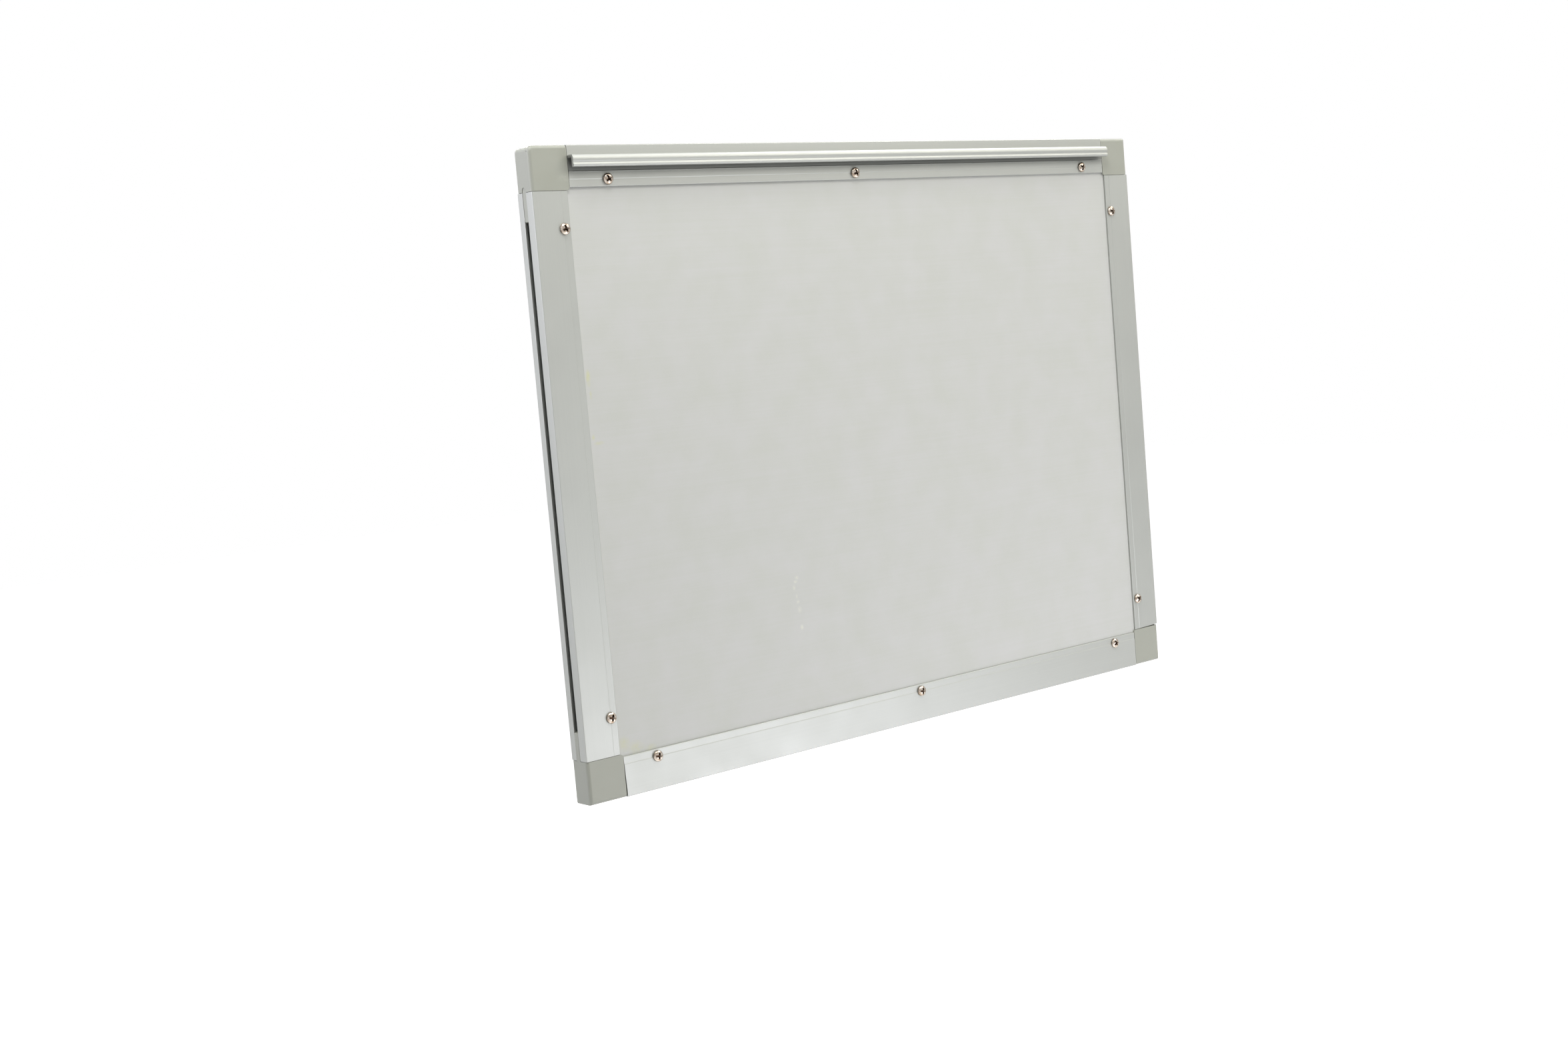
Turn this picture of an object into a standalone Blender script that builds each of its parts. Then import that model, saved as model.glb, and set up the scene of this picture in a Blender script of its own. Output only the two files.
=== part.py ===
"""A framed dry erase board that hangs by a hooked lip along the back of its top rail.

The board stands in the XZ plane: the writing face looks along -Y, the hook is on the +Y side.
The origin is the middle of the hook's seat, the flat face that rests on a hanging bar.
Left and right are those of a person who looks at the writing face, so right is +X.
All sizes are in metres.
"""

import math

import bmesh
import bpy
from mathutils import Matrix, Vector

# Whole board
board_width = 0.600
board_height = 0.450
frame_depth = 0.018
fit_gap = 0.0003
cut_overrun = 0.002

# Rail extrusion: a square tube with a slot along its outer side, a rear flange and a front lip
rail_wall = 0.0015
rail_box_width = 0.018
rear_flange_reach = 0.0105
front_lip_reach = 0.007
rail_corner_radius = 0.0006
rail_corner_steps = 3
flange_edge_chamfer = 0.0003
slot_width = 0.0045
slot_centre_share = 0.555
groove_offset = 0.0054
groove_width = 0.0009
groove_depth = 0.0004

# Hook on the back of the top rail: a web, a lip, and a stop ridge below the channel. The lip's back
# is a wide crown with a narrow bead below it, and both stand out by the lip's reach
hook_drop = 0.0071
hook_web = 0.0018
hook_gap = 0.0047
hook_lip_height = 0.0084
lip_reach = 0.0071
lip_toe = 0.0004
crown_radius = 0.0040
crown_start_share = 0.8
crown_arc_steps = 10
bead_radius = 0.0015
bead_steps = 8
stop_ridge_width = 0.0010
stop_ridge_height = 0.0005

# Rail ends: the saw left two of them a little out of square
bottom_rail_slip = 0.0008
left_rail_slip = 0.0009

# Corner caps: a moulded corner with two hollow legs that push into the rails
cap_overhang = 0.0019
cap_edge_radius = 0.0018
cap_inner_radius = 0.0020
cap_bevel_segments = 4
cap_bevel_profile = 0.5
leg_length = 0.020
leg_wall = 0.0017
leg_rib_inset = 0.0004
notch_length = 0.0033
notch_steps = 8
gate_mark_radius = 0.0005
gate_mark_depth = 0.0003
gate_mark_from_corner = 0.0040
gate_mark_from_rear = 0.0024

# Panel: a steel writing sheet and a back sheet on a fibreboard core
writing_sheet_thickness = 0.0005
back_sheet_thickness = 0.0005

# Self-tapping screws: a pan head with a cross recess, a plain shank and a pointed end
head_radius = 0.0040
head_height = 0.0026
head_rim_share = 0.25
shank_radius = 0.0019
point_length = 0.0030
bite_share = 0.70
recess_reach_share = 0.65
recess_width_share = 0.32
recess_depth_share = 0.75
recess_floor_share = 0.45
turning_steps = 20
crown_steps = 5
hole_steps = 12
weld_share = 0.01

# Screw places: distances from the board's corners, and shares of its width for the middle ones
top_inset_left = 0.0567
top_inset_right = 0.0623
top_middle_share = 0.517
bottom_inset_left = 0.0566
bottom_inset_right = 0.0595
bottom_middle_share = 0.474
left_inset_top = 0.0608
left_inset_bottom = 0.0569
right_inset_top = 0.0563
right_inset_bottom = 0.0575

# Places that follow from the sizes above
rear_y = -hook_gap / 2
top_z = hook_drop + hook_web
bottom_z = top_z - board_height
side_x = board_width / 2
slot_centre = frame_depth * slot_centre_share
slot_near = slot_centre - slot_width / 2
slot_far = slot_centre + slot_width / 2
flange_edge = rail_box_width + rear_flange_reach
lip_edge = rail_box_width + front_lip_reach
groove_line = rail_box_width + groove_offset
cap_size = flange_edge + cap_overhang
rail_start = cap_size + fit_gap
panel_inset = rail_box_width + fit_gap
back_sheet_start = rail_wall + fit_gap
core_start = back_sheet_start + back_sheet_thickness + fit_gap
writing_sheet_end = frame_depth - rail_wall - fit_gap
core_end = writing_sheet_end - writing_sheet_thickness - fit_gap
shank_length = fit_gap + core_start + (core_end - core_start) * bite_share


def clear_scene():
    for obj in list(bpy.data.objects):
        bpy.data.objects.remove(obj, do_unlink=True)


# Materials


def finish(name, colour, roughness, metallic):
    material = bpy.data.materials.get(name) or bpy.data.materials.new(name)
    material.use_nodes = True
    shader = material.node_tree.nodes["Principled BSDF"]
    shader.inputs["Base Color"].default_value = (*colour, 1)
    shader.inputs["Roughness"].default_value = roughness
    shader.inputs["Metallic"].default_value = metallic
    return material


def anodised_aluminium():
    return finish("anodised_aluminium", (0.60, 0.61, 0.60), 0.38, 0.9)


def grey_abs():
    return finish("grey_abs", (0.41, 0.43, 0.37), 0.5, 0)


def lacquered_steel():
    return finish("lacquered_steel", (0.86, 0.87, 0.87), 0.12, 0)


def fibreboard():
    return finish("fibreboard", (0.36, 0.24, 0.14), 0.9, 0)


def painted_backing():
    return finish("painted_backing", (0.61, 0.62, 0.58), 0.7, 0)


def nickel_plated_steel():
    return finish("nickel_plated_steel", (0.70, 0.66, 0.62), 0.2, 1)


# Mesh helpers


def add_object(name, mesh, material):
    if not mesh.materials:
        mesh.materials.append(material)
    obj = bpy.data.objects.new(name, mesh)
    bpy.context.scene.collection.objects.link(obj)
    return obj


def add_cutter(name, bm):
    cutter = bpy.data.objects.new(name, mesh_from(name, bm))
    bpy.context.scene.collection.objects.link(cutter)
    cutter.hide_render = True
    cutter.display_type = "WIRE"
    return cutter


def mesh_from(name, bm):
    bmesh.ops.recalc_face_normals(bm, faces=bm.faces)
    mesh = bpy.data.meshes.new(name)
    bm.to_mesh(mesh)
    bm.free()
    return mesh


def smooth(mesh, degrees=35):
    mesh.shade_smooth()
    mesh.set_sharp_from_angle(angle=math.radians(degrees))


def add_box(bm, low, high):
    size = [high[i] - low[i] for i in range(3)]
    middle = [(high[i] + low[i]) / 2 for i in range(3)]
    place = Matrix.Translation(middle) @ Matrix.Diagonal((*size, 1))
    bmesh.ops.create_cube(bm, size=1, matrix=place)


def add_prism(bm, outline, shift):
    """Joins the outline and its shifted copy into a closed solid."""
    near = [bm.verts.new(point) for point in outline]
    far = [bm.verts.new(Vector(point) + shift) for point in outline]
    add_band(bm, near, far)


def add_band(bm, near, far):
    """Closes two like outlines with faces and joins them by a band of quads."""
    bm.faces.new(near)
    bm.faces.new(far)
    for i in range(len(near)):
        bm.faces.new((near[i - 1], near[i], far[i], far[i - 1]))


def combine(obj, operation, *others):
    for other in others:
        modifier = obj.modifiers.new(f"{operation.lower()}_{other.name}", "BOOLEAN")
        modifier.operation = operation
        modifier.solver = "EXACT"
        modifier.object = other


def shaped_mesh(obj, helpers):
    """The mesh of an object with its modifiers done. The object and its helpers are removed."""
    graph = bpy.context.evaluated_depsgraph_get()
    mesh = bpy.data.meshes.new_from_object(obj.evaluated_get(graph))
    smooth(mesh)
    for done in (obj, *helpers):
        bpy.data.objects.remove(done, do_unlink=True)
    return mesh


def arc(centre, radius, start, end, steps):
    """Points of an arc in a plane, from one angle in degrees to another."""
    angles = [math.radians(start + (end - start) * i / steps) for i in range(steps + 1)]
    return [(centre[0] + radius * math.cos(a), centre[1] + radius * math.sin(a)) for a in angles]


# Places of the four sides and corners. Each is the bottom left one turned about Y: there x runs
# along the rail, z inwards from the board's edge, and y out of the back, with zero at its face.


def corner_place(degrees, x, z):
    return Matrix.Translation((x, rear_y, z)) @ Matrix.Rotation(math.radians(degrees), 4, "Y")


side_places = {
    "bottom": corner_place(0, -side_x, bottom_z),
    "right": corner_place(-90, side_x, bottom_z),
    "top": corner_place(180, side_x, top_z),
    "left": corner_place(90, -side_x, top_z),
}
side_lengths = {
    "bottom": board_width,
    "right": board_height,
    "top": board_width,
    "left": board_height,
}
cap_corners = {
    "bottom": "bottom_left",
    "right": "bottom_right",
    "top": "top_right",
    "left": "top_left",
}

# Distances of the screws along each side, from the corner where that side starts
screw_distances = {
    "bottom": (
        bottom_inset_left,
        board_width * bottom_middle_share,
        board_width - bottom_inset_right,
    ),
    "right": (right_inset_bottom, board_height - right_inset_top),
    "top": (
        top_inset_right,
        board_width * (1 - top_middle_share),
        board_width - top_inset_left,
    ),
    "left": (left_inset_top, board_height - left_inset_bottom),
}


# Rails


def valley_turns(crown, bead):
    """Angles in degrees, from the centres of the crown and the bead, at which their arcs meet."""
    apart = Vector(bead) - Vector(crown)
    line = math.degrees(math.atan2(apart.y, apart.x))
    share = (crown_radius**2 - bead_radius**2) / apart.length
    from_crown = math.acos(min((apart.length + share) / (2 * crown_radius), 1))
    from_bead = math.acos(min((apart.length - share) / (2 * bead_radius), 1))
    return line + 360 - math.degrees(from_crown), line + 180 + math.degrees(from_bead)


def hook_points():
    """The hook's outline: along the web, over the crown, the bead and the toe, and back again."""
    toe = hook_drop + hook_lip_height
    seat = hook_drop + hook_web
    crown = (hook_drop + crown_radius * crown_start_share, crown_radius - lip_reach)
    bead = (toe - bead_radius, bead_radius - lip_reach)
    start = 180 + math.degrees(math.acos(crown_start_share))
    crown_end, bead_start = valley_turns(crown, bead)
    return [
        (hook_drop, 0),
        *arc(crown, crown_radius, start, crown_end, crown_arc_steps),
        *arc(bead, bead_radius, bead_start, 360, bead_steps)[1:],
        (toe, -hook_gap - lip_toe),
        (toe - lip_toe, -hook_gap),
        (seat, -hook_gap),
        (seat, 0),
    ]


def stop_ridge_points():
    half = stop_ridge_width / 2
    return [
        (rail_box_width - half, 0),
        (rail_box_width - half / 2, -stop_ridge_height),
        (rail_box_width + half / 2, -stop_ridge_height),
        (rail_box_width + half, 0),
    ]


def rear_flange_points():
    half = groove_width / 2
    return [
        (groove_line - half, 0),
        (groove_line, groove_depth),
        (groove_line + half, 0),
        (flange_edge - flange_edge_chamfer, 0),
        (flange_edge, flange_edge_chamfer),
        (flange_edge, rail_wall),
    ]


def front_lip_points():
    inner_face = frame_depth - rail_wall
    return [
        (rail_box_width, rail_wall),
        (rail_box_width, inner_face),
        (lip_edge, inner_face),
        (lip_edge, frame_depth - flange_edge_chamfer),
        (lip_edge - flange_edge_chamfer, frame_depth),
    ]


def slot_points():
    """From the outer side in through the slot, round the tube's inside and out again."""
    inner_face = frame_depth - rail_wall
    inner_side = rail_box_width - rail_wall
    return [
        (0, slot_far),
        (rail_wall, slot_far),
        (rail_wall, inner_face),
        (inner_side, inner_face),
        (inner_side, rail_wall),
        (rail_wall, rail_wall),
        (rail_wall, slot_near),
        (0, slot_near),
    ]


def rail_section(hooked):
    """The rail's outline as (u, v): u inwards from its outer side, v from the back to the front."""
    radius = rail_corner_radius
    hook = hook_points() + stop_ridge_points() if hooked else []
    return [
        *arc((radius, radius), radius, 180, 270, rail_corner_steps),
        *hook,
        *rear_flange_points(),
        *front_lip_points(),
        *arc((radius, frame_depth - radius), radius, 90, 180, rail_corner_steps),
        *slot_points(),
    ]


def make_rail(side, drill, end_slip=0):
    """One rail. Its far end is cut back by end_slip at the outer side and by nothing at the flange."""
    bm = bmesh.new()
    outline = [(rail_start, -v, u) for u, v in rail_section(side == "top")]
    rail_end = side_lengths[side] - rail_start
    add_prism(bm, outline, Vector((rail_end - rail_start, 0, 0)))
    for vert in bm.verts:
        if vert.co.x > side_lengths[side] / 2:
            vert.co.x -= end_slip * (1 - vert.co.z / flange_edge)
    mesh = mesh_from(f"{side}_rail", bm)
    smooth(mesh)
    rail = add_object(f"{side}_rail", mesh, anodised_aluminium())
    rail.matrix_world = side_places[side]
    combine(rail, "DIFFERENCE", drill)


# Corner caps


def lies(edge, axis, value):
    return all(abs(vert.co[axis] - value) < fit_gap for vert in edge.verts)


def bevel_edges(bm, edges, radius):
    bmesh.ops.bevel(
        bm,
        geom=edges,
        offset=radius,
        segments=cap_bevel_segments,
        profile=cap_bevel_profile,
        affect="EDGES",
    )


def cap_block():
    """The solid corner, rounded on its outer edges and at the corner that lies on the panel."""
    bm = bmesh.new()
    add_box(bm, (0, -frame_depth, 0), (cap_size, 0, cap_size))
    inner = [e for e in bm.edges if lies(e, 0, cap_size) and lies(e, 2, cap_size)]
    bevel_edges(bm, inner, cap_inner_radius)
    outer = [e for e in bm.edges if lies(e, 0, 0) or lies(e, 2, 0)]
    outer = [e for e in outer if not (lies(e, 0, cap_size) or lies(e, 2, cap_size))]
    bevel_edges(bm, outer, cap_edge_radius)
    return bm


def panel_pocket():
    bm = bmesh.new()
    reach = cap_size + cut_overrun
    low = (rail_box_width, rail_wall - frame_depth, rail_box_width)
    add_box(bm, low, (reach, -rail_wall, reach))
    return bm


def leg_sizes(rib_inset):
    """Low and high corners of the leg along x, of its rib in the slot and of its hollow."""
    low = rail_wall + fit_gap
    high = rail_box_width - low
    front = low - frame_depth
    root = flange_edge
    tip = cap_size + leg_length
    rib_half = slot_width / 2 - fit_gap
    return {
        "leg": ((root, front, low), (tip, -low, high)),
        "rib": (
            (root, -slot_centre - rib_half, rib_inset),
            (tip, -slot_centre + rib_half, low + leg_wall / 2),
        ),
        "hollow": (
            (cap_size, front + leg_wall, low + leg_wall),
            (tip + cut_overrun, -low - leg_wall, high - leg_wall),
        ),
    }


def side_notch():
    """The round-ended end of the slot in the cap's side, as deep as the notched leg's rib lies."""
    bm = bmesh.new()
    half = slot_width / 2
    middle = (cap_size - notch_length + half, -slot_centre)
    reach = cap_size + cut_overrun
    outline = arc(middle, half, 90, 270, notch_steps)
    outline += [(reach, -slot_centre - half), (reach, -slot_centre + half)]
    below = [(x, y, -cut_overrun) for x, y in outline]
    add_prism(bm, below, Vector((0, 0, cut_overrun + leg_rib_inset)))
    return bm


def gate_mark():
    """The small dimple that the mould's gate leaves in the side."""
    bm = bmesh.new()
    centre = (-gate_mark_from_rear, gate_mark_from_corner)
    ring = arc(centre, gate_mark_radius, 0, 360, notch_steps)[:-1]
    outline = [(-cut_overrun, y, z) for y, z in ring]
    add_prism(bm, outline, Vector((cut_overrun + gate_mark_depth, 0, 0)))
    return bm


def across_diagonal(bm):
    """Swaps x and z, which turns the first leg into the second."""
    for vert in bm.verts:
        vert.co = vert.co.zyx
    return bm


def leg_part(label, rib_inset):
    bm = bmesh.new()
    add_box(bm, *leg_sizes(rib_inset)[label])
    return bm


def cap_mesh():
    """The first leg's rib is flush, the second's lies a little deep and ends in a notch."""
    cap = bpy.data.objects.new("cap", mesh_from("cap", cap_block()))
    bpy.context.scene.collection.objects.link(cap)
    pocket = add_cutter("pocket", panel_pocket())
    gate = add_cutter("gate", gate_mark())
    added = []
    cut = [add_cutter("notch", across_diagonal(side_notch()))]
    for turn, inset in ((lambda bm: bm, 0), (across_diagonal, leg_rib_inset)):
        added += [add_cutter(label, turn(leg_part(label, inset))) for label in ("leg", "rib")]
        cut.append(add_cutter("hollow", turn(leg_part("hollow", inset))))
    combine(cap, "DIFFERENCE", pocket)
    combine(cap, "UNION", *added)
    combine(cap, "DIFFERENCE", *cut, gate)
    return shaped_mesh(cap, [pocket, gate, *added, *cut])


def make_caps():
    mesh = cap_mesh()
    for side, corner in cap_corners.items():
        cap = add_object(f"corner_cap_{corner}", mesh, grey_abs())
        cap.matrix_world = side_places[side]


# Panel


def make_layer(name, start, end, material, drill=None):
    """One sheet of the panel, from the depth start to the depth end behind the frame's back."""
    bm = bmesh.new()
    x = side_x - panel_inset
    low = (-x, rear_y - end, bottom_z + panel_inset)
    add_box(bm, low, (x, rear_y - start, top_z - panel_inset))
    layer = add_object(name, mesh_from(name, bm), material)
    if drill:
        combine(layer, "DIFFERENCE", drill)


def make_panel(drill):
    back_end = back_sheet_start + back_sheet_thickness
    writing_start = writing_sheet_end - writing_sheet_thickness
    make_layer("back_sheet", back_sheet_start, back_end, painted_backing(), drill)
    make_layer("core_board", core_start, core_end, fibreboard(), drill)
    make_layer("writing_sheet", writing_start, writing_sheet_end, lacquered_steel())


# Screws


def screw_places():
    """Each screw's name and place: its axis stands on the groove line, its head on the flange."""
    for side, distances in screw_distances.items():
        for number, distance in enumerate(distances, 1):
            seat = Matrix.Translation((distance, fit_gap, groove_line))
            yield f"screw_{side}_{number}", side_places[side] @ seat


def make_drill():
    """One cutter for every screw hole: through the flange and the back sheet, blind in the core."""
    bm = bmesh.new()
    depth = shank_length + fit_gap
    for _, place in screw_places():
        ring = arc((0, 0), shank_radius + fit_gap, 0, 360, hole_steps)[:-1]
        near = [bm.verts.new(place @ Vector((x, cut_overrun, z))) for x, z in ring]
        far = [bm.verts.new(place @ Vector((x, -depth, z))) for x, z in ring]
        add_band(bm, near, far)
    return add_cutter("screw_drill", bm)


def screw_profile():
    """Radius and height from the crown's middle to the point."""
    rim = head_height * head_rim_share
    crown = head_height - rim
    turns = [math.radians(90 * i / crown_steps) for i in range(crown_steps + 1)]
    return [
        *[(head_radius * math.sin(a), rim + crown * math.cos(a)) for a in turns],
        (head_radius, 0),
        (shank_radius, 0),
        (shank_radius, point_length - shank_length),
        (0, -shank_length),
    ]


def turned_screw():
    bm = bmesh.new()
    points = [bm.verts.new((radius, y, 0)) for radius, y in screw_profile()]
    edges = [bm.edges.new(pair) for pair in zip(points, points[1:])]
    bmesh.ops.spin(
        bm,
        geom=points + edges,
        cent=(0, 0, 0),
        axis=(0, 1, 0),
        angle=math.tau,
        steps=turning_steps,
        use_merge=True,
    )
    bmesh.ops.remove_doubles(bm, verts=bm.verts, dist=fit_gap * weld_share)
    return bm


def cross_outline(reach, half, y):
    """The twelve corners of a plus sign."""
    points = []
    for quarter in range(4):
        turn = Matrix.Rotation(math.tau * quarter / 4, 3, "Y")
        for x, z in ((reach, -half), (reach, half), (half, half)):
            points.append(turn @ Vector((x, y, -z)))
    return points


def cross_recess():
    """The recess's cutter: wide above the crown and narrower at its floor."""
    bm = bmesh.new()
    reach = head_radius * recess_reach_share
    half = head_radius * recess_width_share / 2
    floor = head_height * (1 - recess_depth_share)
    above = head_height + cut_overrun
    slope = (1 - recess_floor_share) / (head_height - floor)
    wide = 1 + slope * cut_overrun
    near = [bm.verts.new(p) for p in cross_outline(reach * wide, half * wide, above)]
    narrow = recess_floor_share
    far = [bm.verts.new(p) for p in cross_outline(reach * narrow, half * narrow, floor)]
    add_band(bm, near, far)
    return add_cutter("cross_recess", bm)


def make_screws():
    screw = bpy.data.objects.new("screw", mesh_from("screw", turned_screw()))
    bpy.context.scene.collection.objects.link(screw)
    recess = cross_recess()
    combine(screw, "DIFFERENCE", recess)
    mesh = shaped_mesh(screw, [recess])
    for name, place in screw_places():
        add_object(name, mesh, nickel_plated_steel()).matrix_world = place


clear_scene()
drill = make_drill()
make_rail("top", drill)
make_rail("right", drill)
make_rail("bottom", drill, bottom_rail_slip)
make_rail("left", drill, left_rail_slip)
make_caps()
make_panel(drill)
make_screws()
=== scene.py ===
# %% [markdown]
# # A dry erase board, seen from behind
#
# The board is a steel writing sheet on a fibreboard core, held in four slotted aluminium rails that
# meet at moulded corner caps. It hangs by a hook along the back of its top rail. This lesson loads
# the measured CAD model as a fixed frame, models finer pieces over it, and gives every piece the
# finish of the real thing.

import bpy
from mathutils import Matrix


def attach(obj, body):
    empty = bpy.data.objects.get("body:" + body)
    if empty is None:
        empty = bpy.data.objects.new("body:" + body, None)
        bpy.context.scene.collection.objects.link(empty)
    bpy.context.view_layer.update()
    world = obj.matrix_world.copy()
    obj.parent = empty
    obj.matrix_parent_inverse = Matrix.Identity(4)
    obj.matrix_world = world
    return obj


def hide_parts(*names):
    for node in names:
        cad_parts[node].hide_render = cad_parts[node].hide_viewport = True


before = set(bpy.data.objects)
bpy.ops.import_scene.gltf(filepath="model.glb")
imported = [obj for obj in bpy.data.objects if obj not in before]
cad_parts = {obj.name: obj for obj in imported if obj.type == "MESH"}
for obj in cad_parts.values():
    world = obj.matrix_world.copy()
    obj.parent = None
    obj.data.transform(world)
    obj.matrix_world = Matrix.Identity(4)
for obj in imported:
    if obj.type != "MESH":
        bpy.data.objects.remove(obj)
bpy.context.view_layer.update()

# %% [markdown]
# ## The camera
#
# The photograph was taken from behind and to one side, with the camera rolled by about five degrees.
# Its place in metres and its turn in degrees were solved from the board's corners and edges, so they
# are simply typed in. The lens is given for a 36 mm wide sensor, and nothing is shifted.

# %% Camera
import math

import bmesh
import bpy
from mathutils import Euler, Matrix, Vector

MM = 0.001
camera_data = bpy.data.cameras.new("camera")
camera = bpy.data.objects.new("camera", camera_data)
bpy.context.scene.collection.objects.link(camera)
camera.location = (1.047693, 1.151009, -0.124512)
camera.rotation_euler = [math.radians(a) for a in (84.43728, 4.86041, 140.36199)]
camera_data.sensor_width = 36
camera_data.lens = 46.4943
camera_data.clip_start = 0.05
bpy.context.scene.camera = camera
print("camera at", tuple(camera.location), "lens", camera_data.lens)

# %% [markdown]
# ## Small tools for modelling
#
# Everything is modelled with the same operators that a person uses by hand, so each one acts on what
# is selected. Three small tools keep that tidy: one starts a clean piece from a primitive, one selects
# corners, edges or faces by where they lie, and one puts a modifier on the piece and applies it.

# %% Selecting by place
def clear_selection():
    if bpy.context.object and bpy.context.object.mode != "OBJECT":
        bpy.ops.object.mode_set(mode="OBJECT")
    bpy.ops.object.select_all(action="DESELECT")


def make_active(piece):
    clear_selection()
    piece.select_set(True)
    bpy.context.view_layer.objects.active = piece


def pick(kind, test):
    """In edit mode, selects the vertices, edges or faces whose middle passes the test."""
    bpy.ops.mesh.select_mode(type=kind)
    bpy.ops.mesh.select_all(action="DESELECT")
    shape = bmesh.from_edit_mesh(bpy.context.object.data)
    items = {"VERT": shape.verts, "EDGE": shape.edges, "FACE": shape.faces}[kind]
    for item in items:
        corners = [item.co] if kind == "VERT" else [vert.co for vert in item.verts]
        if test(sum(corners, Vector()) / len(corners)):
            item.select_set(True)
    shape.select_flush_mode()
    bmesh.update_edit_mesh(bpy.context.object.data)


def near(value, target):
    return abs(value - target) < 0.02 * MM


# %% Blocks and modifiers
def name_piece(name):
    piece = bpy.context.object
    piece.name = piece.data.name = name
    return piece


def block(name, low, high):
    """A cube primitive at its real size and place, between two corners in millimetres."""
    clear_selection()
    centre = [(a + b) / 2 * MM for a, b in zip(low, high)]
    size = [(b - a) * MM for a, b in zip(low, high)]
    bpy.ops.mesh.primitive_cube_add(size=1, location=centre)
    bpy.context.object.scale = size
    bpy.ops.object.transform_apply(location=True, rotation=True, scale=True)
    return name_piece(name)


def round_edges(piece, test, radius, steps):
    make_active(piece)
    bpy.ops.object.mode_set(mode="EDIT")
    pick("EDGE", test)
    bpy.ops.mesh.bevel(offset=radius * MM, segments=steps, affect="EDGES")
    bpy.ops.object.mode_set(mode="OBJECT")


def apply_modifier(piece, kind, **settings):
    make_active(piece)
    bpy.ops.object.modifier_add(type=kind)
    modifier = piece.modifiers[-1]
    for name, value in settings.items():
        setattr(modifier, name, value)
    bpy.ops.object.modifier_apply(modifier=modifier.name)


def join_or_cut(piece, operation, *others):
    for other in others:
        apply_modifier(piece, "BOOLEAN", operation=operation, solver="EXACT", object=other)
        bpy.data.objects.remove(other, do_unlink=True)


def finish_shading(piece, degrees=35):
    """Smooth across curves, sharp at corners, and flat faces kept flat."""
    make_active(piece)
    bpy.ops.object.shade_smooth_by_angle(angle=math.radians(degrees))
    apply_modifier(piece, "WEIGHTED_NORMAL", keep_sharp=True)


# %% [markdown]
# ## Drawing a section
#
# An aluminium rail is pushed through a die, so it has one section along its whole length. The same
# idea makes the piece here: a plane is merged to a single point, and that point is pulled from corner
# to corner, which leaves a wire behind it. The wire is filled, its corners are rounded with a vertex
# bevel, and the face is pulled out to the rail's length. A curve could be extruded too, but a mesh
# lets each corner have a radius of its own.

# %% The pencil
def draw_wire(name, corners):
    """A wire in the YZ plane. A corner is (in from the edge, in from the back), in millimetres."""
    clear_selection()
    bpy.ops.mesh.primitive_plane_add(size=MM, location=(0, 0, 0))
    piece = name_piece(name)
    bpy.ops.object.mode_set(mode="EDIT")
    bpy.ops.mesh.select_mode(type="VERT")
    bpy.ops.mesh.merge(type="CENTER")
    places = [Vector((0, -v, u)) * MM for u, v in corners]
    bpy.ops.transform.translate(value=places[0])
    for here, there in zip(places, places[1:]):
        bpy.ops.mesh.extrude_vertices_move(TRANSFORM_OT_translate={"value": there - here})
    return piece


def close_wire():
    """Joins the wire's two ends and fills it."""
    shape = bmesh.from_edit_mesh(bpy.context.object.data)
    ends = {v.index for v in shape.verts if len(v.link_edges) == 1}
    bpy.ops.mesh.select_all(action="DESELECT")
    for vert in bmesh.from_edit_mesh(bpy.context.object.data).verts:
        vert.select_set(vert.index in ends)
    bpy.ops.mesh.edge_face_add()
    bpy.ops.mesh.select_all(action="SELECT")
    bpy.ops.mesh.edge_face_add()


def arc(centre, radius, start, end, steps):
    angles = [math.radians(start + (end - start) * i / steps) for i in range(steps + 1)]
    return [(centre[0] + radius * math.cos(a), centre[1] + radius * math.sin(a)) for a in angles]


# %% [markdown]
# ## The rails
#
# All four rails share one section, in millimetres: an 18 mm square tube with a slot along its outer
# side, a flange that covers the back of the panel, and a lip that covers the front. Along the line of
# its screws the flange has a fine step, which shows where to drill. Only the top rail has the hook: a
# web, and a lip whose wide crown and narrow bead catch the light as two bright lines. A low ridge runs
# along the face below it.

# %% The section's sizes
BOX, WALL, DEPTH = 18, 1.5, 18
FLANGE, LIP = 28.5, 25
SLOT = (7.74, 12.24)
SCREW_LINE, STEP_WIDTH, STEP_DEPTH = 23.4, 0.45, 0.2

# Beyond the step the flange rises again towards its edge, where it still lies this much lower
FLANGE_DROP = 0.12

# The hook: the web's two faces, the lip's inner face, and the round parts of the lip's back
HOOK, SEAT, LIP_FACE = 7.1, 8.9, -4.7
CROWN, CROWN_RADIUS = (10.3, -3.09), 4.0
VALLEY, BEAD, BEAD_RADIUS = (12.443, -8.156), (14.0, -5.59), 1.5
TOE, TOE_CHAMFER = 15.5, 0.4
RIDGE, RIDGE_TOP = (17.5, 18.5), (17.75, 18.25)
RIDGE_HEIGHT = 0.5

hook_corners = [
    (HOOK, 0),
    *arc(CROWN, CROWN_RADIUS, 216.87, 292.93, 12),
    *arc(VALLEY, BEAD_RADIUS, 112.93, 58.75, 6)[1:-1],
    *arc(BEAD, BEAD_RADIUS, 238.75, 360, 10),
    (TOE, LIP_FACE - TOE_CHAMFER),
    (TOE - TOE_CHAMFER, LIP_FACE),
    (SEAT, LIP_FACE),
    (SEAT, 0),
    (RIDGE[0], 0),
    (RIDGE_TOP[0], -RIDGE_HEIGHT),
    (RIDGE_TOP[1], -RIDGE_HEIGHT),
    (RIDGE[1], 0),
]
back_corners = [
    (SCREW_LINE - STEP_WIDTH, 0),
    (SCREW_LINE, STEP_DEPTH),
    (FLANGE, FLANGE_DROP),
    (FLANGE, WALL),
    (BOX, WALL),
]
front_corners = [
    (BOX, DEPTH - WALL),
    (LIP, DEPTH - WALL),
    (LIP, DEPTH),
    (0, DEPTH),
]
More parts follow.
